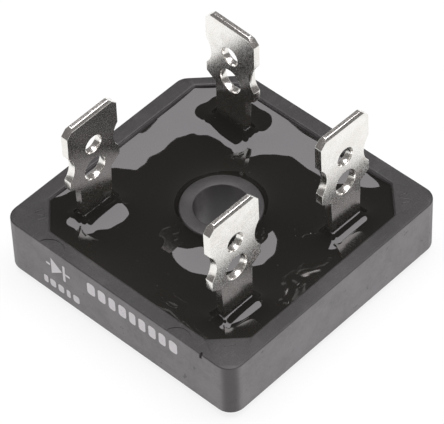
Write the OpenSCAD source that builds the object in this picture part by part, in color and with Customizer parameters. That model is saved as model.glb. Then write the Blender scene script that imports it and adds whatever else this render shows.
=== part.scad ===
/* [Case] */
// Side of the square moulded case
case_w = 28.5; // [27.5:0.25:32]
// Height of the moulded wall, measured without the metal base
case_h = 6.1; // [5.6:0.1:8]
// Radius of the upright corners
corner_r = 1.6; // [0.8:0.1:2.4]
// Leg of the flat cut across the plus corner
bevel_leg = 4.6; // [3.6:0.1:5.6]
// Width of the wall around the potting pocket
wall_t = 1.7; // [1.4:0.1:2.1]
// Leg of the flats across the pocket corners
pocket_leg = 2.8; // [2.4:0.1:3.4]
// Thickness of the moulded floor that insulates the metal base
floor_t = 0.5; // [0.4:0.1:0.8]
// Diameter of the round ejector marks in the top of the wall
ejector_d = 3.2; // [2.4:0.1:4]
// Distance of the ejector marks from the middle of a side
ejector_x = 8; // [6:0.5:9]
// Depth of the ejector marks
ejector_depth = 0.08; // [0.05:0.01:0.15]
// How far the centre of an ejector mark lies outside the case
ejector_out = 0.3; // [0:0.05:0.6]

/* [Screw hole] */
// Diameter of the hole for the mounting screw
bore_d = 5.3; // [4.5:0.1:5.6]
// Wall of the round boss about the hole
boss_t = 1.3; // [1:0.05:1.6]
// Height of the boss above the top of the case wall
boss_rise = 0.1; // [0:0.05:0.5]

/* [Metal base] */
// Thickness of the metal base
base_t = 2; // [1.8:0.1:2.6]
// How far the metal base stands out below the case
base_proud = 0.7; // [0.4:0.05:0.8]
// Distance of the exposed metal from the side of the case
base_inset = 1.9; // [1.6:0.05:2.2]
// Width of the flange that locks the base in the case
flange_w = 0.6; // [0.3:0.05:0.8]
// Thickness of the locking flange
flange_t = 0.7; // [0.5:0.05:0.8]

/* [Circuit] */
// Thickness of the copper pads on the case floor
pad_t = 0.5; // [0.3:0.05:0.8]
// Gap between neighbouring pads, and from a pad to the case
pad_gap = 0.7; // [0.5:0.05:0.9]
// Side of the square diode dies
die_w = 4.4; // [3.6:0.1:4.6]
// Thickness of the diode dies
die_t = 0.3; // [0.2:0.05:0.4]
// Thickness of the solder layers
solder_t = 0.1; // [0.05:0.01:0.15]
// Thickness of the solder under the feet of the terminals
foot_solder_t = 0.15; // [0.1:0.01:0.2]
// Width of the solder on each side of the foot
foot_solder_w = 0.3; // [0.2:0.05:0.4]
// Distance of the middle of a die from the pocket wall
die_wall = 4.05; // [3.75:0.05:4.35]
// Width of the connecting straps
strap_w = 2.1; // [1.6:0.1:2.1]
// Thickness of the connecting straps
strap_t = 0.3; // [0.2:0.05:0.4]
// Length of the strap foot on the pad
strap_foot = 0.9; // [0.8:0.05:1.1]

/* [Terminals] */
// Height of the terminal tips above the mounting face
tab_top = 18.9; // [17:0.1:21.3]
// Width of the terminal blades
tab_w = 6.3; // [6.2:0.01:6.4]
// Thickness of the terminal blades
tab_t = 0.8; // [0.77:0.01:0.83]
// Leg of the cut corners at the tip
tab_corner = 0.85; // [0.5:0.05:1.1]
// Height of the bevels at the tip
tip_bevel = 0.3; // [0.2:0.05:0.5]
// Thickness left at the tip between the bevels
tip_flat = 0.4; // [0.3:0.05:0.6]
// Distance from the tip to the notches
notch_drop = 3.4; // [3:0.1:3.6]
// Height of the notches
notch_h = 3.2; // [2.8:0.1:3.4]
// Depth of the notches
notch_depth = 0.66; // [0.4:0.02:0.8]
// Height of the barb edges below the notches
barb_h = 1.1; // [0.8:0.1:1.4]
// Height of the slanting shoulders below the barbs
shoulder_h = 0.7; // [0.5:0.1:1]
// Width of the neck under the shoulders
neck_w = 4; // [3.6:0.1:4.4]
// Width of the neck where it bends into the foot
foot_w = 3.6; // [3.2:0.1:3.6]
// Length of the foot from the middle of the blade
foot_l = 2.15; // [1.95:0.05:2.3]
// Radius on the inside of the foot bend
bend_r = 0.4; // [0.3:0.05:0.6]
// Diameter of the upper hole in the blade
upper_hole_d = 2; // [1.6:0.05:2.2]
// Distance of the upper hole from the tip
upper_hole_drop = 3.9; // [3.6:0.1:4.2]
// Diameter of the lower hole in the blade
lower_hole_d = 2.65; // [2.2:0.05:2.8]
// Distance of the lower hole from the tip
lower_hole_drop = 7.05; // [6.8:0.05:7.3]
// Distance of the middle of a blade from the pocket wall behind it
tab_wall = 3.35; // [3.25:0.05:3.55]
// Distance of the middle of a blade from the pocket wall beside it
tab_end = 5.55; // [5.35:0.05:5.75]

/* [Potting] */
// Depth of the potting level below the top of the case wall
fill_drop = 1.65; // [1.5:0.05:1.9]
// Height to which the potting climbs at the walls of the pocket
wall_climb_h = 1.1; // [0.8:0.05:1.3]
// Length over which the climb at the walls dies out
wall_climb_l = 1.85; // [1.5:0.05:2]
// Height to which the potting climbs at the boss
boss_climb_h = 1.55; // [1.2:0.05:1.6]
// Length over which the climb at the boss dies out
boss_climb_l = 1.4; // [1.1:0.05:1.5]
// Height to which the potting climbs at the blades
blade_climb_h = 1.5; // [1.2:0.05:1.6]
// Length over which the climb at the blades dies out
blade_climb_l = 1.05; // [0.8:0.05:1.2]

/* [Hidden] */
$fn = 48;

// Overlap that a cutting tool reaches past the face it opens
eps = 0.5;
// Corner numbers, counted counterclockwise from the minus corner
MINUS = 0;
AC_RIGHT = 1;
PLUS = 2;
AC_LEFT = 3;

// How far the solder layers stay inside what they join
solder_in = 0.1;
// Length of the foot solder past the toe of the foot
toe_solder_l = 0.2;
// Run of the slanting part of a strap, and its distance from the edge of the next pad
crank = 0.4;
heel_in = 0.2;

// Levels above the mounting face
case_z = base_proud;
wall_z = case_z + case_h;
flange_z = base_t - flange_t;
floor_z = base_t + floor_t;
pad_z = floor_z + pad_t;
die_z = pad_z + solder_t;
die_top = die_z + die_t;
strap_z = die_top + solder_t;
fill_z = wall_z - fill_drop;
foot_z = pad_z + foot_solder_t;

// Half widths and radii
case_half = case_w / 2;
pocket_half = case_half - wall_t;
pad_half = pocket_half - pad_gap;
// Distances of the blades and dies from the centre of the case
tab_plane = pocket_half - tab_wall;
tab_side = pocket_half - tab_end;
die_place = pocket_half - die_wall;
bore_r = bore_d / 2;
boss_r = bore_r + boss_t;
base_half = case_half - base_inset;
flange_half = base_half + flange_w;
// Copper that shows around a die, and line between two pads past the middle of a side
pad_edge = 0.2;
pad_reach = die_w / 2 + pad_edge + pad_gap / 2;
// Inner edge of the pads, clear of the boss
pad_inner = boss_r + pad_gap;

// How far each blade stands off its place: across its face and along it, by corner
off_across = [-0.2, 0.3, -0.1, 0];
off_along = [-0.8, -0.8, -0.1, 0.25];
// Side of the corner that each blade stands on
seat_side = [-1, 1, 1, 1];
// Small angles of each blade: turn about the vertical, lean outward, lean along its face
seat_turn = [0, -0.6, -2.4, -0.3];
lean_out = [-1.4, -1.75, 0.8, -1.25];
lean_along = [0.45, 0.8, 0, 0.95];
// Blade seating by corner: place across, place along, turn, lean out, lean along
seat = [
    for (k = [MINUS:AC_LEFT])
        [
            tab_plane + off_across[k],
            seat_side[k] * tab_side + off_along[k],
            seat_turn[k], lean_out[k], lean_along[k]
        ]
];
// Turn of each terminal about the vertical, by corner
tab_turn = [0, 0, 90, 180];

// Square with one edge cut flat at the plus corner, grown outward by r with round corners
module case_outline(half, leg, r) {
    in = half - r;
    cut = leg - r * (2 - sqrt(2));
    centres = [[in, in], [-in + cut, in], [-in, in - cut], [-in, -in], [in, -in]];
    slant = r / sqrt(2);
    polygon([
        [half, in], [in, half], [-in + cut, half], [-in + cut - slant, in + slant],
        [-in - slant, in - cut + slant], [-half, in - cut], [-half, -in], [-in, -half],
        [in, -half], [half, -in]
    ]);
    for (c = centres)
        translate(c) circle(r);
}

// Square with its four corners cut flat
module cut_square(half, leg) {
    polygon([
        for (k = [0:3])
            for (p = [[half, -half + leg], [half, half - leg]])
                [p.x * cos(90 * k) - p.y * sin(90 * k), p.x * sin(90 * k) + p.y * cos(90 * k)]
    ]);
}

// Metal base with the step that locks it in the case
module base_solid() {
    difference() {
        union() {
            linear_extrude(base_t)
                case_outline(base_half, bevel_leg, corner_r / 2);
            translate([0, 0, flange_z])
                linear_extrude(flange_t)
                    case_outline(flange_half, bevel_leg, corner_r / 2);
        }
        translate([0, 0, -eps])
            cylinder(h = base_t + 2 * eps, r = boss_r);
    }
}

module ejector_marks() {
    for (x = [-ejector_x, ejector_x], y = [-1, 1])
        translate([x, y * (case_half + ejector_out), wall_z - ejector_depth])
            cylinder(h = ejector_depth + eps, d = ejector_d);
}

module case() {
    color([0.17, 0.16, 0.16])
    difference() {
        union() {
            difference() {
                translate([0, 0, case_z])
                    linear_extrude(case_h)
                        case_outline(case_half, bevel_leg, corner_r);
                translate([0, 0, floor_z])
                    linear_extrude(wall_z)
                        cut_square(pocket_half, pocket_leg);
                base_solid();
                ejector_marks();
            }
            cylinder(h = wall_z + boss_rise, r = boss_r);
        }
        translate([0, 0, -eps])
            cylinder(h = wall_z + boss_rise + 2 * eps, r = bore_r);
    }
}

module metal_base() {
    color([0.75, 0.75, 0.76])
        base_solid();
}

// Outline of the pad in each corner: two arms that meet in the corner.
// An arm that carries a die runs past the middle of its side, the others stop short of it.
module pad_outline(corner) {
    arm = [
        [-pad_reach, -pad_reach],
        [-pad_reach, pad_reach],
        [pad_reach, pad_reach],
        [pad_reach, -pad_reach]
    ][corner];
    span_a = pad_half + arm[0] - pad_gap / 2;
    span_b = pad_half + arm[1] - pad_gap / 2;
    intersection() {
        cut_square(pad_half, pocket_leg);
        rotate(90 * corner)
            union() {
                translate([pad_inner, -pad_half])
                    square([pad_half - pad_inner, span_a]);
                translate([pad_half - span_b, -pad_half])
                    square([span_b, pad_half - pad_inner]);
            }
    }
}

module pad(corner) {
    color([0.72, 0.45, 0.25])
        translate([0, 0, floor_z])
            linear_extrude(pad_t)
                pad_outline(corner);
}

// Front outline of a blade, in its own plane, from the foot up
module blade_outline(length) {
    half = tab_w / 2;
    notch_z = length - notch_drop;
    barb_z = notch_z - notch_h;
    shoulder_z = barb_z - barb_h;
    neck_z = shoulder_z - shoulder_h;
    bend_z = bend_r + tab_t;
    notch_r = (pow(notch_h / 2, 2) + pow(notch_depth, 2)) / (2 * notch_depth);
    difference() {
        polygon([
            [-foot_w / 2, bend_z], [foot_w / 2, bend_z],
            [neck_w / 2, neck_z], [half, shoulder_z],
            [half, length - tab_corner], [half - tab_corner, length],
            [tab_corner - half, length], [-half, length - tab_corner],
            [-half, shoulder_z], [-neck_w / 2, neck_z]
        ]);
        for (side = [-1, 1])
            translate([side * (half - notch_depth + notch_r), (notch_z + barb_z) / 2])
                circle(notch_r);
        translate([0, length - upper_hole_drop]) circle(d = upper_hole_d);
        translate([0, length - lower_hole_drop]) circle(d = lower_hole_d);
    }
}

// One pressed terminal: foot towards +X, blade upright, standing on its foot
module terminal_blank() {
    length = tab_top - foot_z;
    bend_out = bend_r + tab_t;
    bevel_in = (tab_t - tip_flat) / 2;
    bend_x = tab_t / 2 + bend_r;
    difference() {
        translate([-tab_t / 2, 0, 0])
            rotate([90, 0, 90])
                linear_extrude(tab_t)
                    blade_outline(length);
        for (side = [0, 180])
            rotate(side)
                rotate([90, 0, 0])
                    linear_extrude(tab_w + 2 * eps, center = true)
                        polygon([
                            [tab_t / 2 + bevel_in, length - 2 * tip_bevel],
                            [tab_t / 2 + bevel_in, length + tip_bevel],
                            [tab_t / 2 - 2 * bevel_in, length + tip_bevel]
                        ]);
    }
    rotate([90, 0, 0])
        linear_extrude(foot_w, center = true)
            union() {
                difference() {
                    intersection() {
                        translate([bend_x, bend_out]) circle(bend_out);
                        translate([-tab_t / 2, 0]) square(bend_out);
                    }
                    translate([bend_x, bend_out]) circle(bend_r);
                }
                translate([bend_x, 0]) square([foot_l - bend_x, tab_t]);
            }
}

// Puts a shape where the blade of a corner is seated, with its small lean
module at_seat(corner, leaning = 1) {
    s = seat[corner];
    rotate(tab_turn[corner])
        translate([s[0], s[1], foot_z])
            rotate([-leaning * s[4], leaning * s[3], s[2]])
                children();
}

module placed_terminal(corner) {
    at_seat(corner) terminal_blank();
}

module terminal(corner) {
    color([0.86, 0.85, 0.82])
        placed_terminal(corner);
}

// Solder block that runs up about the foot, without the foot itself
module foot_solder_block(corner) {
    s = seat[corner];
    length = foot_l - tab_t / 2 + toe_solder_l;
    width = foot_w + 2 * foot_solder_w;
    rotate(tab_turn[corner])
        translate([s[0] + tab_t / 2, s[1] - width / 2, pad_z])
            cube([length, width, foot_solder_t + tab_t / 2]);
}

module foot_solder(corner) {
    color([0.62, 0.63, 0.64])
        difference() {
            foot_solder_block(corner);
            placed_terminal(corner);
        }
}

// Puts a shape at the middle of a side: die k stands between corners k - 1 and k
module at_die(k, z) {
    rotate(90 * (k - 1))
        translate([die_place, 0, z])
            children();
}

module die_block(k, z, w, h) {
    at_die(k, z)
        translate([-w / 2, -w / 2, 0])
            cube([w, w, h]);
}

module die(k) {
    color([0.35, 0.37, 0.42])
        die_block(k, die_z, die_w, die_t);
}

module die_solder(k) {
    color([0.62, 0.63, 0.64])
        die_block(k, pad_z, die_w - 2 * solder_in, solder_t);
}

module strap_solder(k) {
    color([0.62, 0.63, 0.64])
        die_block(k, die_top, strap_w - 2 * solder_in, solder_t);
}

// Side that a strap runs to from its die: to the corner before it or after it
strap_way = [-1, -1, 1, 1];

// Cranked strap from the top of a die down to the next pad
module strap_solid(k) {
    start = -strap_w / 2;
    heel = pad_reach + pad_gap / 2 + heel_in;
    at_die(k, 0)
        mirror([0, strap_way[k - 1] < 0 ? 1 : 0, 0])
            rotate([90, 0, 90])
                linear_extrude(strap_w, center = true)
                    polygon([
                        [start, strap_z], [heel - crank, strap_z], [heel, pad_z],
                        [heel + strap_foot, pad_z], [heel + strap_foot, pad_z + strap_t],
                        [heel + strap_t / 2, pad_z + strap_t], [heel + strap_t / 2 - crank, strap_z + strap_t],
                        [start, strap_z + strap_t]
                    ]);
}

module strap(k) {
    color([0.72, 0.45, 0.25])
        strap_solid(k);
}

// Number of climb lengths after which the surface counts as level
climb_run = 3;
// Share of a climb that is left at distance d, for a climb of length l
function climb_share(d, l) = (exp(-d / l) - exp(-climb_run)) / (1 - exp(-climb_run));
// Points of a climb of height h and length l, closer together where the surface is steep
climb_count = 6;
function climb_points(h, l) = [
    for (i = [0:climb_count])
        let (d = climb_run * l * pow(i / climb_count, 1.5)) [d, h * climb_share(d, l)]
];
wall_climb = climb_points(wall_climb_h, wall_climb_l);

// Section of the hollow above the potting, between two walls at +half and -half
module dish_profile(half) {
    polygon(concat(
        [for (i = [0:climb_count]) [half - wall_climb[i].x, fill_z + wall_climb[i].y]],
        [for (i = [climb_count:-1:0]) [wall_climb[i].x - half, fill_z + wall_climb[i].y]],
        [[-half, wall_z + eps], [half, wall_z + eps]]
    ));
}

// Section of the potting that climbs a wall at distance r from the axis
module climb_profile(r, h, l) {
    polygon(concat(
        [for (p = climb_points(h, l)) [r + p.x, p.y]],
        [[r + climb_run * l, -eps], [0, -eps], [0, h]]
    ));
}

// Room inside the pocket, from its floor up
module pocket_room(h) {
    translate([0, 0, floor_z])
        linear_extrude(h)
            cut_square(pocket_half, pocket_leg);
}

// Potting up to its level, dished along the eight flats of the pocket
module dished_fill() {
    flat_half = (2 * pocket_half - pocket_leg) / sqrt(2);
    difference() {
        pocket_room(fill_z + wall_climb_h - floor_z);
        intersection_for (side = [[0, pocket_half], [45, flat_half], [90, pocket_half], [135, flat_half]])
            rotate([90, 0, side[0]])
                linear_extrude(2 * case_w, center = true)
                    dish_profile(side[1]);
    }
}

// Potting that climbs the round boss
module boss_climb() {
    translate([0, 0, fill_z])
        rotate_extrude()
            climb_profile(boss_r, boss_climb_h, boss_climb_l);
}

// Potting that climbs the neck of a terminal on all four sides
module neck_climb(corner) {
    s = seat[corner];
    rise = fill_z - foot_z;
    along = neck_w / 2 - tab_t / 2;
    rotate(tab_turn[corner])
        translate([s[0] + rise * sin(s[3]), s[1] + rise * sin(s[4]), fill_z])
            rotate(s[2]) {
                for (y = [-along, along])
                    translate([0, y, 0])
                        rotate_extrude()
                            climb_profile(tab_t / 2, blade_climb_h, blade_climb_l);
                rotate([90, 0, 0])
                    linear_extrude(2 * along, center = true) {
                        climb_profile(tab_t / 2, blade_climb_h, blade_climb_l);
                        mirror([1, 0]) climb_profile(tab_t / 2, blade_climb_h, blade_climb_l);
                    }
            }
}

// Everything that the potting buries or surrounds
module buried() {
    translate([0, 0, floor_z - eps])
        cylinder(h = case_h + eps, r = boss_r);
    for (corner = [MINUS:AC_LEFT]) {
        translate([0, 0, floor_z])
            linear_extrude(pad_t)
                pad_outline(corner);
        placed_terminal(corner);
        foot_solder_block(corner);
    }
    for (k = [1:4]) {
        die_block(k, die_z, die_w, die_t);
        die_block(k, pad_z, die_w - 2 * solder_in, solder_t);
        die_block(k, die_top, strap_w - 2 * solder_in, solder_t);
        strap_solid(k);
    }
}

module potting() {
    color([0.09, 0.08, 0.07])
        difference() {
            union() {
                dished_fill();
                boss_climb();
                intersection() {
                    pocket_room(case_h);
                    union() {
                        for (corner = [MINUS:AC_LEFT])
                            neck_climb(corner);
                    }
                }
            }
            buried();
        }
}

case();
metal_base();
potting();
pad(MINUS);  // pad_minus
pad(AC_RIGHT);  // pad_ac_right
pad(PLUS);  // pad_plus
pad(AC_LEFT);  // pad_ac_left
terminal(MINUS);  // terminal_minus
terminal(AC_RIGHT);  // terminal_ac_right
terminal(PLUS);  // terminal_plus
terminal(AC_LEFT);  // terminal_ac_left
foot_solder(MINUS);  // foot_solder_minus
foot_solder(AC_RIGHT);  // foot_solder_ac_right
foot_solder(PLUS);  // foot_solder_plus
foot_solder(AC_LEFT);  // foot_solder_ac_left
die(1);  // die_1
die(2);  // die_2
die(3);  // die_3
die(4);  // die_4
die_solder(1);  // die_solder_1
die_solder(2);  // die_solder_2
die_solder(3);  // die_solder_3
die_solder(4);  // die_solder_4
strap_solder(1);  // strap_solder_1
strap_solder(2);  // strap_solder_2
strap_solder(3);  // strap_solder_3
strap_solder(4);  // strap_solder_4
strap(1);  // strap_1
strap(2);  // strap_2
strap(3);  // strap_3
strap(4);  // strap_4
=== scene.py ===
"""Looks of the bridge rectifier: case, casting resin, tin-plated blades, floor, light and camera."""
import math

import bmesh
import bpy
import numpy as np
from mathutils import Matrix, Vector


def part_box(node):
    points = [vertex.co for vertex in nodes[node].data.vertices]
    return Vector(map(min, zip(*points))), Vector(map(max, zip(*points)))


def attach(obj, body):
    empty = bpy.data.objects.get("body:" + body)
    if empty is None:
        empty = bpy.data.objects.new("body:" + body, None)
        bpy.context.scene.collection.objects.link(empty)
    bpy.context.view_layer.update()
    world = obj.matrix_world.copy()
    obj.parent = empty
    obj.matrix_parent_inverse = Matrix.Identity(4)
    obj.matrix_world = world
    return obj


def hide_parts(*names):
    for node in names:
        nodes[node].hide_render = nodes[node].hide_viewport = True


MM = 0.001

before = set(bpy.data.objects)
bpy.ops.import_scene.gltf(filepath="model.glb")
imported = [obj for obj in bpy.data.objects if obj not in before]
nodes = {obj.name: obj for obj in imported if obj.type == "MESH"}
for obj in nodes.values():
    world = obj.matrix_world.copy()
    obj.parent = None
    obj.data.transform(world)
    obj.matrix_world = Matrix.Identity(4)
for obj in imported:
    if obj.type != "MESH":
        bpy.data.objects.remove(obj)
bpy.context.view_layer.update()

# ---------------------------------------------------------------- sizes, in mm

INK_T = 0.008  # the printed ink stands this far proud of the wall, inside the part's box
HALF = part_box("case")[1].x / MM - INK_T
BASE_PROUD = 0.7  # the metal base stands out this far below the case
CASE_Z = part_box("metal_base")[0].z / MM + BASE_PROUD
BASE_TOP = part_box("metal_base")[1].z / MM
BOSS_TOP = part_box("case")[1].z / MM
BOSS_RISE = 0.1
WALL_TOP = BOSS_TOP - BOSS_RISE
FLOOR_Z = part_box("potting")[0].z / MM
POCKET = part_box("potting")[1].x / MM
BASE_HALF = 12.35
FLANGE_HALF = 12.95
FLANGE_Z = 1.3
BEVEL_LEG = 4.6
POCKET_LEG = 2.8
CORNER_R = 1.6
BORE_R = 2.65
BOSS_R = 3.95
FILL_Z = 5.15  # level of the resin away from what it climbs


# ---------------------------------------------------------------- mesh helpers


def new_object(name, mesh):
    obj = bpy.data.objects.new(name, mesh)
    bpy.context.scene.collection.objects.link(obj)
    return obj


def finished(obj, angle=32):
    """Smooth shading with sharp edges kept, and flat faces kept flat."""
    mesh = obj.data
    mesh.polygons.foreach_set("use_smooth", [True] * len(mesh.polygons))
    mesh.set_sharp_from_angle(angle=math.radians(angle))
    weights = obj.modifiers.new("flat_faces", "WEIGHTED_NORMAL")
    weights.keep_sharp = True
    weights.weight = 80
    return obj


def inset_polygon(points, r):
    """Corners of a convex polygon moved inward by r."""
    n = len(points)
    lines = []
    for i in range(n):
        a, b = Vector(points[i]), Vector(points[(i + 1) % n])
        d = (b - a).normalized()
        normal = Vector((d.y, -d.x))
        lines.append((normal, normal.dot(a) - r))
    out = []
    for i in range(n):
        (na, ca), (nb, cb) = lines[i - 1], lines[i]
        det = na.x * nb.y - na.y * nb.x
        out.append(Vector(((ca * nb.y - cb * na.y) / det, (na.x * cb - nb.x * ca) / det)))
    return out


def rounded(points, r, grow=0.0, step=9):
    """Convex polygon with corners of radius r, grown outward by grow. Always the same number of points."""
    centres = inset_polygon(points, r)
    n = len(points)
    out = []
    for i in range(n):
        a, b, c = Vector(points[i - 1]), Vector(points[i]), Vector(points[(i + 1) % n])
        d0, d1 = (b - a).normalized(), (c - b).normalized()
        start = math.atan2(-d0.x, d0.y)
        turn = math.atan2(d0.x * d1.y - d0.y * d1.x, d0.dot(d1))
        parts = max(2, round(math.degrees(turn) / step))
        for k in range(parts + 1):
            t = start + turn * k / parts
            out.append((centres[i].x + (r + grow) * math.cos(t), centres[i].y + (r + grow) * math.sin(t)))
    return out


def circle(r, n=96, cx=0.0, cy=0.0):
    turns = [2 * math.pi * k / n for k in range(n)]
    return [(cx + r * math.cos(t), cy + r * math.sin(t)) for t in turns]


def square(half, leg):
    """Square with the plus corner cut flat, counterclockwise."""
    return [(half, -half), (half, half), (leg - half, half), (-half, half - leg), (-half, -half)]


def octagon(half, leg):
    s = half - leg
    return [(half, -s), (half, s), (s, half), (-s, half), (-half, s), (-half, -s), (-s, -half), (s, -half)]


class Skin:
    """A mesh made of loops of points, in mm."""

    def __init__(self):
        self.bm = bmesh.new()

    def loop(self, points, z):
        return [self.bm.verts.new((x * MM, y * MM, z * MM)) for x, y in points]

    def bridge(self, a, b):
        n = len(a)
        for i in range(n):
            j = (i + 1) % n
            self.bm.faces.new((a[i], a[j], b[j], b[i]))

    def chain(self, loops):
        for a, b in zip(loops, loops[1:]):
            self.bridge(a, b)

    def ring(self, a, b):
        """Flat face between two loops with different counts."""
        edges = set()
        for loop in (a, b):
            for i, v in enumerate(loop):
                w = loop[(i + 1) % len(loop)]
                edges.add(self.bm.edges.get((v, w)) or self.bm.edges.new((v, w)))
        bmesh.ops.triangle_fill(self.bm, use_beauty=True, use_dissolve=False, edges=list(edges))

    def prism(self, points, low_z, high_z):
        """Closed upright prism on an outline."""
        low, high = self.loop(points, low_z), self.loop(points, high_z)
        self.bridge(low, high)
        self.bm.faces.new(low)
        self.bm.faces.new(high)

    def mesh(self, name):
        bmesh.ops.remove_doubles(self.bm, verts=self.bm.verts, dist=1e-7)
        bmesh.ops.recalc_face_normals(self.bm, faces=self.bm.faces)
        mesh = bpy.data.meshes.new(name)
        self.bm.to_mesh(mesh)
        self.bm.free()
        return mesh


def round_edge(make, grow, z, r, up, inward, parts=3):
    """Loops round an edge of radius r. make(grow) gives the outline, up leads from the wall to the face."""
    loops = []
    for k in range(parts + 1):
        t = math.pi / 2 * k / parts
        loops.append((make(grow - inward * r * (1 - math.cos(t))), z - up * r * (1 - math.sin(t))))
    return loops


# ---------------------------------------------------------------- case


def build_case():
    skin = Skin()
    outer = lambda g: rounded(square(HALF, BEVEL_LEG), CORNER_R, g)
    pocket = lambda g: rounded(octagon(POCKET, POCKET_LEG), 0.35, g, 15)
    base = lambda g: rounded(square(BASE_HALF, BEVEL_LEG), CORNER_R / 2, g)
    flange = lambda g: rounded(square(FLANGE_HALF, BEVEL_LEG), CORNER_R / 2, g)
    ring = lambda g: circle(BOSS_R + g)
    bore = lambda g: circle(BORE_R + g)

    def loops(spec):
        return [skin.loop(points, z) for points, z in spec]

    low = round_edge(outer, 0, CASE_Z, 0.12, -1, 1)[::-1]
    high = round_edge(outer, 0, WALL_TOP, 0.16, 1, 1, 4)
    wall = loops(low + high)
    skin.chain(wall)
    inside = round_edge(pocket, 0, WALL_TOP, 0.22, 1, -1, 4)[::-1]
    well = loops(inside + [(pocket(0), FLOOR_Z)])
    skin.ring(wall[-1], well[0])
    skin.chain(well)
    boss = loops([(ring(0), FLOOR_Z)] + round_edge(ring, 0, BOSS_TOP, 0.1, 1, 1))
    skin.ring(well[-1], boss[0])
    skin.chain(boss)
    hole = loops(round_edge(bore, 0, BOSS_TOP, 0.1, 1, -1)[::-1] + round_edge(bore, 0, 0, 0.08, -1, -1))
    skin.bridge(boss[-1], hole[0])
    skin.chain(hole)
    foot = loops([(ring(-0.08), 0), (ring(0), 0.08), (ring(0), BASE_TOP)])
    skin.bridge(hole[-1], foot[0])
    skin.chain(foot)
    under = loops([(flange(0), BASE_TOP), (flange(0), FLANGE_Z), (base(0), FLANGE_Z), (base(0), CASE_Z)])
    skin.ring(foot[-1], under[0])
    skin.chain(under)
    skin.ring(under[-1], wall[0])
    return skin.mesh("case_moulding")


def cut_marks(obj):
    """Shallow round ejector marks in the top of the wall, and a small nick at its edge."""
    tool = Skin()
    # place, radius and depth of each ejector mark
    marks = (
        (-8.02, -14.6, 1.6, 0.07),
        (7.85, -14.4, 1.42, 0.06),
        (7.83, 15.0, 1.6, 0.07),
        (-8.0, 14.7, 1.5, 0.06),
    )
    for x, y, r, depth in marks:
        tool.prism(circle(r, 56, x, y), WALL_TOP - depth, WALL_TOP + 1)
    nick = [(10.45, -15), (10.85, -15), (10.78, -14.02), (10.6, -13.93), (10.5, -14.05)]
    nick_depth = 0.55
    tool.prism(nick, WALL_TOP - nick_depth, WALL_TOP + 1)
    cutter = new_object("cutter", tool.mesh("cutter"))
    cut = obj.modifiers.new("marks", "BOOLEAN")
    cut.operation, cut.solver, cut.object = "DIFFERENCE", "EXACT", cutter
    bake(obj)
    bpy.data.objects.remove(cutter)


def bake(obj):
    """Applies all modifiers."""
    mesh = bpy.data.meshes.new_from_object(obj.evaluated_get(bpy.context.evaluated_depsgraph_get()))
    obj.modifiers.clear()
    old, obj.data = obj.data, mesh
    bpy.data.meshes.remove(old)


def smooth_line(points, per=8):
    """Points along a smooth curve through the given ones."""
    p = [Vector(q) for q in points]
    p = [2 * p[0] - p[1]] + p + [2 * p[-1] - p[-2]]
    out = []
    for i in range(1, len(p) - 2):
        for k in range(per):
            t = k / per
            a, b, c, d = p[i - 1], p[i], p[i + 1], p[i + 2]
            square_part = (2 * a - 5 * b + 4 * c - d) * t * t
            cube_part = (3 * b - a - 3 * c + d) * t ** 3
            out.append(0.5 * (2 * b + (c - a) * t + square_part + cube_part))
    out.append(p[-2])
    return out


def ridge(skin, points, width, height, z, sides=8):
    """A low rounded ridge along a line on the top of the wall."""
    rows = []
    n = len(points)
    for i, q in enumerate(points):
        d = (points[min(i + 1, n - 1)] - points[max(i - 1, 0)]).normalized()
        side = Vector((d.y, -d.x))
        end = 0.45 if i in (0, n - 1) else 1
        row = []
        for k in range(sides):
            t = 2 * math.pi * k / sides
            off = side * (width / 2 * end * math.cos(t))
            row.append((q.x + off.x, q.y + off.y, z + height * end * math.sin(t)))
        rows.append([skin.bm.verts.new([c * MM for c in v]) for v in row])
    skin.chain(rows)
    skin.bm.faces.new(rows[0][::-1])
    skin.bm.faces.new(rows[-1])


def polarity_marks():
    """Raised marks on the rim: two waves, a minus and a plus."""
    skin = Skin()
    z = WALL_TOP - 0.01
    wave = [
        (-0.62, 0.35), (-0.45, -0.28), (-0.1, -0.3), (0.05, 0.05), (0.2, 0.38), (0.5, 0.3), (0.62, -0.35),
    ]
    for cx, cy, turn in ((-11.85, -11.8, -40), (11.9, 11.9, -40)):
        c, s = math.cos(math.radians(turn)), math.sin(math.radians(turn))
        ridge(skin, smooth_line([(cx + x * c - y * s, cy + x * s + y * c) for x, y in wave]), 0.2, 0.075, z)
    ridge(skin, smooth_line([(11.53, -12.16), (11.85, -11.7), (12.17, -11.24)]), 0.24, 0.07, z)
    # the plus mark stands in the middle of the narrow rim behind the cut corner
    cx, cy, reach = -11.55, 11.55, 0.38
    ridge(skin, smooth_line([(cx - reach, cy), (cx, cy), (cx + reach, cy)]), 0.2, 0.07, z)
    ridge(skin, smooth_line([(cx, cy - reach), (cx, cy), (cx, cy + reach)]), 0.2, 0.07, z)
    return skin.mesh("polarity_marks")


def join(target, mesh):
    """Adds a mesh to an object's own."""
    bm = bmesh.new()
    bm.from_mesh(target.data)
    bm.from_mesh(mesh)
    bm.to_mesh(target.data)
    bm.free()
    bpy.data.meshes.remove(mesh)


case = new_object("case_moulding", build_case())
cut_marks(case)
join(case, polarity_marks())
finished(case, 40)
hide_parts("case")

# ---------------------------------------------------------------- blades

CORNERS = ("minus", "ac_right", "plus", "ac_left")
# Seat of each blade in its own corner, as in the part:
# across, along, turn, lean out, lean along, corner turn
SEATS = {
    "minus": (9.0, -7.8, 0, -1.4, 0.45, 0),
    "ac_right": (9.5, 6.2, -0.6, -1.75, 0.8, 0),
    "plus": (9.1, 6.9, -2.4, 0.8, 0, 90),
    "ac_left": (9.2, 7.25, -0.3, -1.25, 0.95, 180),
}
FOOT_Z = 3.15
EDGE_R = 0.05  # softness of the pressed edges


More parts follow.
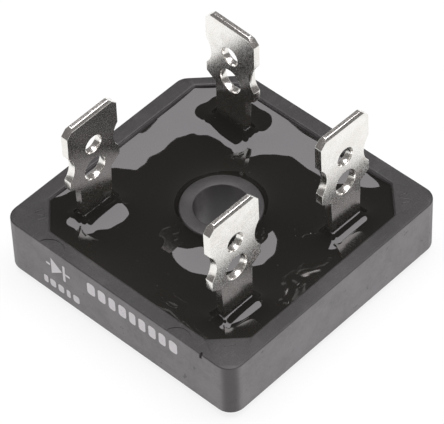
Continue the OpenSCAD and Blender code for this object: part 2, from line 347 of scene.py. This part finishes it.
def seat_matrix(corner):
    x, y, turn, lean, along, corner_turn = SEATS[corner]
    r = lambda a, axis: Matrix.Rotation(math.radians(a), 4, axis)
    lean_turn = r(turn, "Z") @ r(lean, "Y") @ r(-along, "X")
    return r(corner_turn, "Z") @ Matrix.Translation(Vector((x, y, FOOT_Z)) * MM) @ lean_turn


def build_blade(corner):
    """The pressed blade with softly rounded edges; its cut faces take the second material."""
    name = "terminal_" + corner
    bm = bmesh.new()
    bm.from_mesh(nodes[name].data)
    bmesh.ops.remove_doubles(bm, verts=bm.verts, dist=2e-6)
    bmesh.ops.dissolve_limit(bm, angle_limit=math.radians(0.6), verts=bm.verts, edges=bm.edges)
    face_axis = seat_matrix(corner).to_3x3() @ Vector((1, 0, 0))
    for face in bm.faces:
        face.material_index = 0 if abs(face.normal.dot(face_axis)) > 0.9 else 1
    mesh = bpy.data.meshes.new("blade_" + corner)
    bm.to_mesh(mesh)
    bm.free()
    obj = new_object("blade_" + corner, mesh)
    soft = obj.modifiers.new("edges", "BEVEL")
    soft.width, soft.segments, soft.limit_method = EDGE_R * MM, 2, "ANGLE"
    soft.angle_limit = math.radians(20)
    soft.use_clamp_overlap = True
    bake(obj)
    finished(obj, 50)
    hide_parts(name)
    return obj


blades = {corner: build_blade(corner) for corner in CORNERS}

# ---------------------------------------------------------------- potting


def wall_distance(x, y):
    """Distance of points from the eight walls of the pocket, one row a wall."""
    slant = (2 * POCKET - POCKET_LEG) / math.sqrt(2)
    straight = np.stack([POCKET - x, POCKET + x, POCKET - y, POCKET + y])
    diagonal = slant - np.stack([x + y, x - y, y - x, -x - y]) / math.sqrt(2)
    return np.concatenate([straight, diagonal])


def climb_table(slopes):
    """Distances and heights of a surface that has the given slopes, in degrees, at the given distances."""
    reach = np.linspace(0, slopes[-1][0], 400)
    angle = np.interp(reach, [d for d, _ in slopes], [a for _, a in slopes])
    fall = np.tan(np.radians(angle)) * (reach[1] - reach[0])
    height = np.cumsum(fall[::-1])[::-1]
    return reach, height - height[-1]


# Slope of the resin, in degrees, at a distance from what it climbs
WALL_CLIMB = climb_table([
    (0, 26), (0.4, 21), (1.5, 17.5), (2.6, 13), (3.3, 7), (4.5, 1.5), (6, 0),
])
BOSS_CLIMB = climb_table([
    (0, 56), (0.35, 41), (0.8, 30), (1.5, 20), (2.3, 13), (3.1, 8), (3.8, 3.5), (5, 0),
])
BLADE_CLIMB = climb_table([
    (0, 74), (0.12, 62), (0.3, 48), (0.6, 35), (1.0, 25), (1.6, 16), (2.4, 10), (3.2, 6), (4.5, 0),
])
CLIMB_ROOF = 5.0  # height that climbs added together never pass
CONTACT_Z = FILL_Z + 0.8  # level at which the blades' place in the resin is taken
NECK_ACROSS, NECK_ALONG = 0.38, 1.85  # half sizes of a neck, a little inside the metal
RIM_CLEAR = 0.12  # the resin stays this far under the rim


def resin_height(x, y):
    """Height of the resin above its level: it climbs the walls, the boss and the blades."""

    def climb(distance, table):
        return np.interp(np.maximum(distance, 0), *table, right=0.0)

    walls = sum(climb(d, WALL_CLIMB) ** 4 for d in wall_distance(x, y)) ** 0.25
    left = 1 - walls / CLIMB_ROOF
    left = left * (1 - climb(np.hypot(x, y) - BOSS_R, BOSS_CLIMB) / CLIMB_ROOF)
    for corner in CORNERS:
        m = seat_matrix(corner)
        centre = m @ Vector((0, 0, (CONTACT_Z - FOOT_Z) * MM)) / MM
        across, along = m.to_3x3() @ Vector((1, 0, 0)), m.to_3x3() @ Vector((0, 1, 0))
        dx, dy = x - centre.x, y - centre.y
        a = np.abs(dx * across.x + dy * across.y) - NECK_ACROSS
        b = np.abs(dx * along.x + dy * along.y) - NECK_ALONG
        distance = np.hypot(np.maximum(a, 0), np.maximum(b, 0))
        left = left * (1 - climb(distance, BLADE_CLIMB) / CLIMB_ROOF)
    return CLIMB_ROOF * (1 - left)


def build_potting():
    """Resin between the boss and the pocket wall: loops closer together where the surface climbs."""
    count, rows = 480, 96
    edge = octagon(POCKET, POCKET_LEG)
    angles = np.arange(count) * 2 * math.pi / count
    c, s = np.cos(angles), np.sin(angles)
    reach = np.full(count, 1e9)
    slant = (2 * POCKET - POCKET_LEG) / math.sqrt(2)
    for k in range(8):
        t = k * math.pi / 4
        limit = POCKET if k % 2 == 0 else slant
        along = c * math.cos(t) + s * math.sin(t)
        reach = np.where(along > 1e-6, np.minimum(reach, limit / np.maximum(along, 1e-6)), reach)
    skin = Skin()

    def loop(x, y, z):
        return [skin.bm.verts.new((px * MM, py * MM, pz * MM)) for px, py, pz in zip(x, y, z)]

    loops = []
    crowding = 0.115  # draws the loops towards the boss and the wall
    for k in range(rows + 1):
        u = k / rows
        t = u - crowding * math.sin(2 * math.pi * u)
        r = BOSS_R + (reach - BOSS_R) * t
        x, y = r * c, r * s
        z = np.minimum(FILL_Z + resin_height(x, y), WALL_TOP - RIM_CLEAR)
        loops.append(loop(x, y, z))
    skin.chain(loops)
    under = np.full(count, FLOOR_Z)
    low = [loop(r * c, r * s, under) for r in (reach, np.full(count, BOSS_R))]
    skin.bridge(loops[-1], low[0])
    skin.bridge(low[0], low[1])
    skin.bridge(low[1], loops[0])
    return skin.mesh("potting_resin")


resin = new_object("potting_resin", build_potting())
resin.data.polygons.foreach_set("use_smooth", [True] * len(resin.data.polygons))
resin.data.set_sharp_from_angle(angle=math.radians(60))
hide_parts("potting")

# ---------------------------------------------------------------- print: plain white shapes


def build_print():
    skin = Skin()
    y = -(HALF + INK_T)

    def flat(points):
        front = [skin.bm.verts.new((px * MM, y * MM, pz * MM)) for px, pz in points]
        back = [skin.bm.verts.new((px * MM, (y + INK_T) * MM, pz * MM)) for px, pz in points]
        skin.bridge(back, front)
        skin.bm.faces.new(front)
        skin.bm.faces.new(back[::-1])

    def bar(x, z, w, h):
        corners = [(x + i * w / 2, z + j * h / 2) for i, j in ((-1, -1), (1, -1), (1, 1), (-1, 1))]
        flat(rounded(corners, min(w, h) * 0.32, 0, 30))

    # a plain diode sign
    flat([(-8.15, 5.65), (-8.15, 3.55), (-6.75, 4.6)])
    bar(-6.5, 4.6, 0.3, 2.1)
    bar(-8.55, 4.6, 0.5, 0.26)
    bar(-6.05, 4.6, 0.6, 0.26)
    # place and width of each bar: a short row under the sign, and a long row
    short_row = ((-9.0, 0.55), (-8.1, 0.75), (-7.05, 0.75), (-6.1, 0.5), (-5.1, 0.8))
    long_row = (
        (-3.0, 1.0), (-1.65, 0.95), (-0.35, 0.85), (0.95, 0.95), (2.2, 0.8), (3.4, 0.85),
        (4.65, 0.9), (5.9, 0.85), (7.25, 1.0),
    )
    for x, w in short_row:
        bar(x, 2.15, w, 0.95)
    for x, w in long_row:
        bar(x, 5.1, w, 1.5)
    return skin.mesh("side_print")


ink = new_object("side_print", build_print())

# ---------------------------------------------------------------- materials


class Nodes:
    """A material's node tree, with short ways to add nodes. Positions are in mm."""

    def __init__(self, name):
        self.material = bpy.data.materials.new(name)
        self.material.use_nodes = True
        self.tree = self.material.node_tree
        self.shader = self.tree.nodes["Principled BSDF"]
        self.output = self.tree.nodes["Material Output"]
        coords = self.add("ShaderNodeTexCoord")
        scale = self.add("ShaderNodeVectorMath", operation="SCALE")
        scale.inputs["Scale"].default_value = 1000
        self.link(coords.outputs["Object"], scale.inputs[0])
        self.place = scale.outputs[0]
        split = self.add("ShaderNodeSeparateXYZ")
        self.link(self.place, split.inputs[0])
        self.x, self.y, self.z = split.outputs
        facing = self.add("ShaderNodeSeparateXYZ")
        self.link(coords.outputs["Normal"], facing.inputs[0])
        self.nx, self.ny, self.nz = facing.outputs

    def add(self, kind, **settings):
        node = self.tree.nodes.new(kind)
        for key, value in settings.items():
            setattr(node, key, value)
        return node

    def link(self, a, b):
        self.tree.links.new(a, b)

    def put(self, value, socket):
        if isinstance(value, bpy.types.NodeSocket):
            self.link(value, socket)
        elif value is not None:
            socket.default_value = value

    def math(self, operation, a, b=None, c=None, clamp=False):
        node = self.add("ShaderNodeMath", operation=operation, use_clamp=clamp)
        for value, socket in zip((a, b, c), node.inputs):
            self.put(value, socket)
        return node.outputs[0]

    def step(self, value, low, high, out_low=0.0, out_high=1.0):
        node = self.add("ShaderNodeMapRange", interpolation_type="SMOOTHSTEP")
        keys = ("Value", "From Min", "From Max", "To Min", "To Max")
        for key, v in zip(keys, (value, low, high, out_low, out_high)):
            self.put(v, node.inputs[key])
        return node.outputs[0]

    def noise(self, scale, detail=2.0, rough=0.5, stretch=None, turn=None, distort=0.0):
        place = self.place
        if stretch or turn:
            mapping = self.add("ShaderNodeMapping")
            self.link(place, mapping.inputs["Vector"])
            mapping.inputs["Scale"].default_value = stretch or (1, 1, 1)
            if turn:
                mapping.inputs["Rotation"].default_value = [math.radians(a) for a in turn]
            place = mapping.outputs[0]
        node = self.add("ShaderNodeTexNoise")
        self.link(place, node.inputs["Vector"])
        node.inputs["Scale"].default_value = scale
        node.inputs["Detail"].default_value = detail
        node.inputs["Roughness"].default_value = rough
        node.inputs["Distortion"].default_value = distort
        return node.outputs["Fac"]

    def mix(self, factor, a, b):
        node = self.add("ShaderNodeMix", data_type="RGBA")
        self.put(factor, node.inputs["Factor"])
        self.put(a if isinstance(a, bpy.types.NodeSocket) else (*a, 1), node.inputs[6])
        self.put(b if isinstance(b, bpy.types.NodeSocket) else (*b, 1), node.inputs[7])
        return node.outputs[2]

    def bump(self, height, distance, strength=1.0, onto=None):
        node = self.add("ShaderNodeBump")
        self.put(height, node.inputs["Height"])
        node.inputs["Distance"].default_value = distance * MM
        node.inputs["Strength"].default_value = strength
        if onto is not None:
            self.link(onto, node.inputs["Normal"])
        return node.outputs[0]

    def set(self, **values):
        for key, value in values.items():
            self.put(value, self.shader.inputs[key.replace("_", " ")])
        return self.material


def case_material():
    m = Nodes("case_black")
    # the sides and the top are lit and shaded copies of one plastic: the sides' lighter grey is painted
    # light, the top keeps the near black
    up = m.math("ABSOLUTE", m.nz)
    side = m.step(up, 0.25, 0.75, 1.0, 0.0)
    # painted reflection: the rounded corners of the side walls are darkened in their colour, standing in
    # for the shaded floor they mirror
    corner = m.math("MULTIPLY", m.math("ABSOLUTE", m.math("MULTIPLY", m.nx, m.ny)), 2.0, clamp=True)
    corner = m.math("MULTIPLY", m.step(corner, 0.25, 0.95), side)
    cloud = m.noise(0.45, 3, 0.6)
    grain = m.noise(2.6, 4, 0.65)
    fine = m.noise(9.0, 3, 0.6)
    # side walls: painted a lighter grey than the rim, a painted reflection of the bright floor they mirror;
    # mottled, with small dark pits
    wall = m.mix(m.step(cloud, 0.3, 0.7), (0.135, 0.128, 0.130), (0.185, 0.178, 0.182))
    wall = m.mix(m.math("MULTIPLY", m.step(grain, 0.35, 0.7), 0.35), wall, (0.235, 0.225, 0.23))
    pits = m.step(m.noise(1.15, 3, 0.7), 0.66, 0.72)
    wall = m.mix(m.math("MULTIPLY", pits, 0.75), wall, (0.05, 0.045, 0.045))
    # darkens the rounded wall corners: painted reflection of the shaded floor
    wall = m.mix(m.math("MULTIPLY", corner, 0.85), wall, (0.045, 0.04, 0.041))
    # rim: near black, finely speckled, lightly scratched
    rim = m.mix(m.step(fine, 0.35, 0.75), (0.012, 0.0115, 0.011), (0.04, 0.038, 0.037))
    rim = m.mix(m.math("MULTIPLY", m.step(cloud, 0.5, 0.75), 0.5), rim, (0.05, 0.046, 0.045))
    scuffs = m.noise(1.6, 2, 0.5, (6, 0.45, 1), (0, 0, 38))
    hair = m.noise(1.9, 1, 0.5, (9, 0.35, 1), (0, 0, -25))
    scratch = m.math("MAXIMUM", m.step(scuffs, 0.69, 0.74), m.step(hair, 0.7, 0.74))
    rim = m.mix(m.math("MULTIPLY", scratch, 0.5), rim, (0.12, 0.115, 0.11))
    # painted light: the side walls take the lighter grey and the top the near black, by the way they face
    colour = m.mix(side, rim, wall)
    height = m.math("ADD", m.math("MULTIPLY", fine, 0.6), m.math("MULTIPLY", grain, 0.4))
    bumped = m.bump(height, 0.03, 0.35)
    return m.set(
        Base_Color=colour,
        Roughness=m.step(side, 0, 1, 0.5, 0.42),
        Normal=bumped,
        Specular_IOR_Level=0.6,
    )


def resin_material():
    m = Nodes("potting_black")
    sway = m.noise(0.28, 1, 0.4)
    dust = m.step(m.noise(3.4, 2, 0.5), 0.765, 0.79)
    colour = m.mix(dust, (0.011, 0.010, 0.0085), (0.10, 0.095, 0.09))
    return m.set(
        Base_Color=colour,
        Roughness=m.step(dust, 0, 1, 0.035, 0.5),
        IOR=1.5,
        Normal=m.bump(sway, 0.12, 0.5),
    )


def blade_material():
    m = Nodes("tin_plate")
    grain = m.noise(7.0, 4, 0.6)
    cloud = m.noise(0.7, 2, 0.5)
    lines = m.noise(3.0, 2, 0.5, (1, 1, 0.06))
    stain = m.step(m.noise(1.4, 3, 0.65), 0.6, 0.75)
    colour = m.mix(m.step(cloud, 0.3, 0.7), (0.95, 0.935, 0.90), (0.87, 0.85, 0.81))
    colour = m.mix(m.math("MULTIPLY", stain, 0.25), colour, (0.55, 0.5, 0.43))
    rough = m.step(grain, 0.3, 0.75, 0.16, 0.34)
    height = m.math("ADD", m.math("MULTIPLY", grain, 0.5), m.math("MULTIPLY", lines, 0.5))
    return m.set(Base_Color=colour, Metallic=1.0, Roughness=rough, Normal=m.bump(height, 0.02, 0.4))


def cut_material():
    m = Nodes("tin_cut_edge")
    grain = m.noise(6.0, 4, 0.65, (1, 1, 0.5))
    colour = m.mix(m.step(grain, 0.35, 0.7), (0.93, 0.90, 0.85), (0.72, 0.66, 0.56))
    rough = m.step(grain, 0.3, 0.7, 0.22, 0.45)
    return m.set(Base_Color=colour, Metallic=1.0, Roughness=rough, Normal=m.bump(grain, 0.06, 0.6))


def ink_material():
    m = Nodes("white_ink")
    wear = m.step(m.noise(4.5, 3, 0.6), 0.62, 0.72)
    colour = m.mix(m.math("MULTIPLY", wear, 0.6), (0.78, 0.77, 0.78), (0.3, 0.29, 0.29))
    return m.set(Base_Color=colour, Roughness=0.6, Normal=m.bump(wear, 0.01, 0.4))


def metal_material(name, light, dark, rough, scale):
    m = Nodes(name)
    grain = m.noise(scale, 3, 0.6)
    lines = m.noise(1.2, 2, 0.5, (0.05, 4, 1), (0, 0, 8))
    colour = m.mix(m.step(grain, 0.3, 0.7), light, dark)
    height = m.math("ADD", m.math("MULTIPLY", grain, 0.4), m.math("MULTIPLY", lines, 0.6))
    return m.set(
        Base_Color=colour,
        Metallic=1.0,
        Roughness=m.step(lines, 0.3, 0.7, rough, rough + 0.15),
        Normal=m.bump(height, 0.02, 0.35),
    )


def silicon_material():
    m = Nodes("silicon")
    grain = m.noise(5.0, 2, 0.5)
    colour = m.mix(grain, (0.10, 0.11, 0.14), (0.16, 0.17, 0.2))
    return m.set(Base_Color=colour, Metallic=0.4, Roughness=m.step(grain, 0.3, 0.7, 0.18, 0.3))


case_black = case_material()
potting_black = resin_material()
tin_plate, tin_cut = blade_material(), cut_material()
white_ink = ink_material()
nickel = metal_material("nickel_plate", (0.72, 0.71, 0.68), (0.6, 0.59, 0.56), 0.28, 2.2)
copper = metal_material("copper", (0.80, 0.47, 0.30), (0.66, 0.37, 0.23), 0.3, 3.0)
solder = metal_material("solder", (0.62, 0.62, 0.62), (0.48, 0.48, 0.48), 0.42, 4.0)
silicon = silicon_material()

case.data.materials.append(case_black)
resin.data.materials.append(potting_black)
ink.data.materials.append(white_ink)
for blade in blades.values():
    blade.data.materials.clear()
    blade.data.materials.append(tin_plate)
    blade.data.materials.append(tin_cut)

NODE_LOOKS = {
    "metal_base": nickel,
    "pad_": copper,
    "foot_solder_": solder,
    "die_solder_": solder,
    "strap_solder_": solder,
}
for name, node in nodes.items():
    look = next((v for k, v in NODE_LOOKS.items() if name.startswith(k)), None)
    if look is None and name.startswith("strap_"):
        look = copper
    if look is None and name.startswith("die_"):
        look = silicon
    if look is not None:
        node.data.materials.clear()
        node.data.materials.append(look)

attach(ink, "root")
dressed = [(case, "case_black"), (resin, "potting_black")]
dressed += [(blade, "tin_plate") for blade in blades.values()]
for piece, slot in dressed:
    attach(piece, "root")

# ---------------------------------------------------------------- floor, light and camera


def light_path(tree, *rays):
    """Socket that is 1 for the given kinds of ray and 0 for the rest."""
    path = tree.nodes.new("ShaderNodeLightPath")
    value = path.outputs[rays[0]]
    for ray in rays[1:]:
        add = tree.nodes.new("ShaderNodeMath")
        add.operation, add.use_clamp = "ADD", True
        tree.links.new(value, add.inputs[0])
        tree.links.new(path.outputs[ray], add.inputs[1])
        value = add.outputs[0]
    return value


FLOOR_HALF = 4.0  # metres
FLOOR_DROP = 0.02  # keeps the floor out of the plane of the metal base
FLOOR_PAINT = (0.82, 0.82, 0.82, 1)
FLOOR_GLOW_SHARE = 0.85  # the rest of the floor's white is lit, and shows the part's shadow


def build_floor():
    mesh = bpy.data.meshes.new("floor")
    s, z = FLOOR_HALF, -FLOOR_DROP * MM
    mesh.from_pydata([(-s, -s, z), (s, -s, z), (s, s, z), (-s, s, z)], [], [(0, 1, 2, 3)])
    floor = new_object("floor", mesh)
    material = bpy.data.materials.new("floor_white")
    material.use_nodes = True
    tree = material.node_tree
    tree.nodes.clear()
    out = tree.nodes.new("ShaderNodeOutputMaterial")
    paint = tree.nodes.new("ShaderNodeBsdfDiffuse")
    paint.inputs["Color"].default_value = FLOOR_PAINT
    glow = tree.nodes.new("ShaderNodeEmission")
    glow.inputs["Strength"].default_value = 1.0
    both = tree.nodes.new("ShaderNodeMixShader")
    share = tree.nodes.new("ShaderNodeMath")
    share.operation = "MULTIPLY"
    seen_rays = light_path(tree, "Is Camera Ray", "Is Glossy Ray", "Is Transmission Ray")
    tree.links.new(seen_rays, share.inputs[0])
    share.inputs[1].default_value = FLOOR_GLOW_SHARE
    tree.links.new(share.outputs[0], both.inputs[0])
    tree.links.new(paint.outputs[0], both.inputs[1])
    tree.links.new(glow.outputs[0], both.inputs[2])
    # seen from below, the floor is clear, so that the underside of the part shows
    clear = tree.nodes.new("ShaderNodeBsdfTransparent")
    side = tree.nodes.new("ShaderNodeNewGeometry")
    shown = tree.nodes.new("ShaderNodeMixShader")
    tree.links.new(side.outputs["Backfacing"], shown.inputs[0])
    tree.links.new(both.outputs[0], shown.inputs[1])
    tree.links.new(clear.outputs[0], shown.inputs[2])
    tree.links.new(shown.outputs[0], out.inputs["Surface"])
    mesh.materials.append(material)
    return floor


floor = build_floor()

world = bpy.data.worlds.new("studio")
bpy.context.scene.world = world
world.use_nodes = True
tree = world.node_tree
tree.nodes.clear()
out = tree.nodes.new("ShaderNodeOutputWorld")
seen = tree.nodes.new("ShaderNodeBackground")
seen.inputs["Color"].default_value = (1, 1, 1, 1)
seen.inputs["Strength"].default_value = 1.0
room = tree.nodes.new("ShaderNodeBackground")
room.inputs["Color"].default_value = (0.55, 0.53, 0.52, 1)
room.inputs["Strength"].default_value = 0.3
pick = tree.nodes.new("ShaderNodeMixShader")
tree.links.new(light_path(tree, "Is Camera Ray", "Is Transmission Ray"), pick.inputs[0])
tree.links.new(room.outputs[0], pick.inputs[1])
tree.links.new(seen.outputs[0], pick.inputs[2])
tree.links.new(pick.outputs[0], out.inputs["Surface"])

# Viewing direction in degrees, and place in mm
AZIMUTH, ELEVATION, ROLL = 44.528, 47.570, -2.273
CAMERA_PLACE = Vector((140.84, -143.15, 225.72))
LENS, SENSOR = 261.97, 36
# Soft box: its height in metres, then its edges as seen from the part, over that height
BOX_HEIGHT = 0.6
BOX_AWAY = (-0.33, 0.5)
BOX_RIGHT = (-0.5, 0.85)
BOX_RADIANCE = 5.0
BOX_COLOUR = (1.0, 0.97, 1.0)


def area_light(name, centre, right, up, width, height, radiance, colour=(1, 1, 1)):
    """A soft box. Its radiance is what a mirror facing it would show."""
    data = bpy.data.lights.new(name, "AREA")
    data.shape, data.size, data.size_y = "RECTANGLE", width, height
    data.energy = radiance * math.pi * width * height
    data.color = colour
    lamp = bpy.data.objects.new(name, data)
    bpy.context.scene.collection.objects.link(lamp)
    right, up = Vector(right).normalized(), Vector(up).normalized()
    back = right.cross(up)
    turn = Matrix((right, up, back)).transposed().to_4x4()
    lamp.matrix_world = Matrix.Translation(Vector(centre)) @ turn
    return lamp


azimuth, elevation, roll = (math.radians(v) for v in (AZIMUTH, ELEVATION, ROLL))
away = Vector((-math.sin(azimuth), math.cos(azimuth), 0))
right = Vector((math.cos(azimuth), math.sin(azimuth), 0))
centre = (away * sum(BOX_AWAY) / 2 + right * sum(BOX_RIGHT) / 2 + Vector((0, 0, 1))) * BOX_HEIGHT
width = (BOX_RIGHT[1] - BOX_RIGHT[0]) * BOX_HEIGHT
depth = (BOX_AWAY[1] - BOX_AWAY[0]) * BOX_HEIGHT
area_light("softbox", centre, right, away, width, depth, BOX_RADIANCE, BOX_COLOUR)

camera_data = bpy.data.cameras.new("camera")
camera = bpy.data.objects.new("camera", camera_data)
bpy.context.scene.collection.objects.link(camera)
back = Vector((
    math.sin(azimuth) * math.cos(elevation), -math.cos(azimuth) * math.cos(elevation), math.sin(elevation),
))
upward = back.cross(right)
cam_right = right * math.cos(roll) + upward * math.sin(roll)
cam_up = upward * math.cos(roll) - right * math.sin(roll)
turn = Matrix((cam_right, cam_up, back)).transposed().to_4x4()
camera.matrix_world = Matrix.Translation(CAMERA_PLACE * MM) @ turn
camera_data.lens, camera_data.sensor_width = LENS, SENSOR
camera_data.clip_start, camera_data.clip_end = 0.01, 20
bpy.context.scene.camera = camera
bpy.context.scene.view_settings.view_transform = "Standard"
